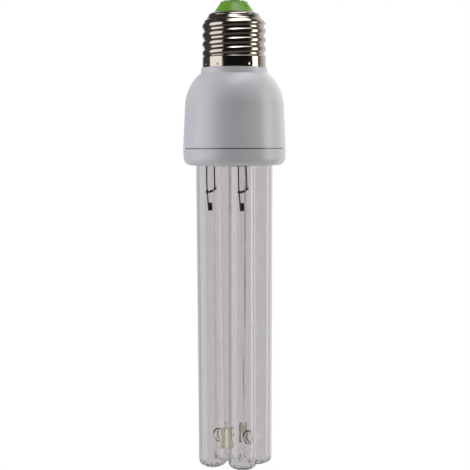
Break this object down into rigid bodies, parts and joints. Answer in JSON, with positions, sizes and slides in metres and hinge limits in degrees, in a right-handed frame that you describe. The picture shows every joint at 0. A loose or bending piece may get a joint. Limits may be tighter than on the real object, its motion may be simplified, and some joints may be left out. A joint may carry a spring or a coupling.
{
  "type": "germicidal UV lamp",
  "caption": "Self-ballasted germicidal lamp with bridged quartz tubes, a white two-part housing and an Edison screw cap.",
  "frame": {"origin": "on the lamp's axis at the lower edge of the screw shell's skirt, where the shell meets the plastic neck", "axes": "+Z along the lamp's axis towards the cap's centre contact; X and Y along the sides of the square that the tubes stand in; base up as in the picture"},
  "size_m": [0.0418, 0.0418, 0.1895],
  "materials": {
    "nickel_plate": "nickel plated, rolled",
    "green_insulator": "moulded, semi-gloss",
    "white_plastic": "moulded, satin",
    "quartz": "fused quartz, fire polished",
    "silicone": "translucent silicone",
    "cement": "dried cement",
    "electrode_nickel": "drawn wire",
    "emitter": "emission coated coil",
    "amalgam_metal": "dull silver",
    "foil_metal": "thin foil",
    "board_laminate": "paper laminate",
    "can_sleeve": "shrink sleeve",
    "ferrite": "pressed ferrite",
    "bobbin_plastic": "moulded",
    "copper_wire": "enamelled copper",
    "film_dip": "dipped",
    "mould_compound": "moulded package",
    "resistor_paint": "lacquered",
    "tinned_wire": "tinned"
  },
  "bodies": {
    "root": {"screw_shell": "nickel_plate", "cap_insulator": "green_insulator", "centre_contact": "nickel_plate", "upper_housing": "white_plastic", "tube_holder": "white_plastic", "tube_cement": "cement", "quartz_envelope": "quartz", "tube_spacer": "silicone", "seal_foils": "foil_metal", "outer_leads": "tinned_wire", "ballast_board": "board_laminate", "smoothing_capacitor": "can_sleeve", "choke_core": "ferrite", "choke_bobbin": "bobbin_plastic", "choke_winding": "copper_wire", "drive_core": "ferrite", "drive_windings": "copper_wire", "starting_capacitor": "film_dip", "coupling_capacitor": "film_dip", "switching_transistor_1": "mould_compound", "switching_transistor_2": "mould_compound", "rectifier_diodes": "mould_compound", "base_resistors": "resistor_paint", "fusible_resistor": "resistor_paint", "shell_lead": "tinned_wire", "long_lead_a": "electrode_nickel", "short_lead_a": "electrode_nickel", "filament_a": "emitter", "amalgam_holder_a": "electrode_nickel", "amalgam_pellet_a": "amalgam_metal", "long_lead_b": "electrode_nickel", "short_lead_b": "electrode_nickel", "filament_b": "emitter", "amalgam_holder_b": "electrode_nickel", "amalgam_pellet_b": "amalgam_metal"}
  },
  "joints": []
}
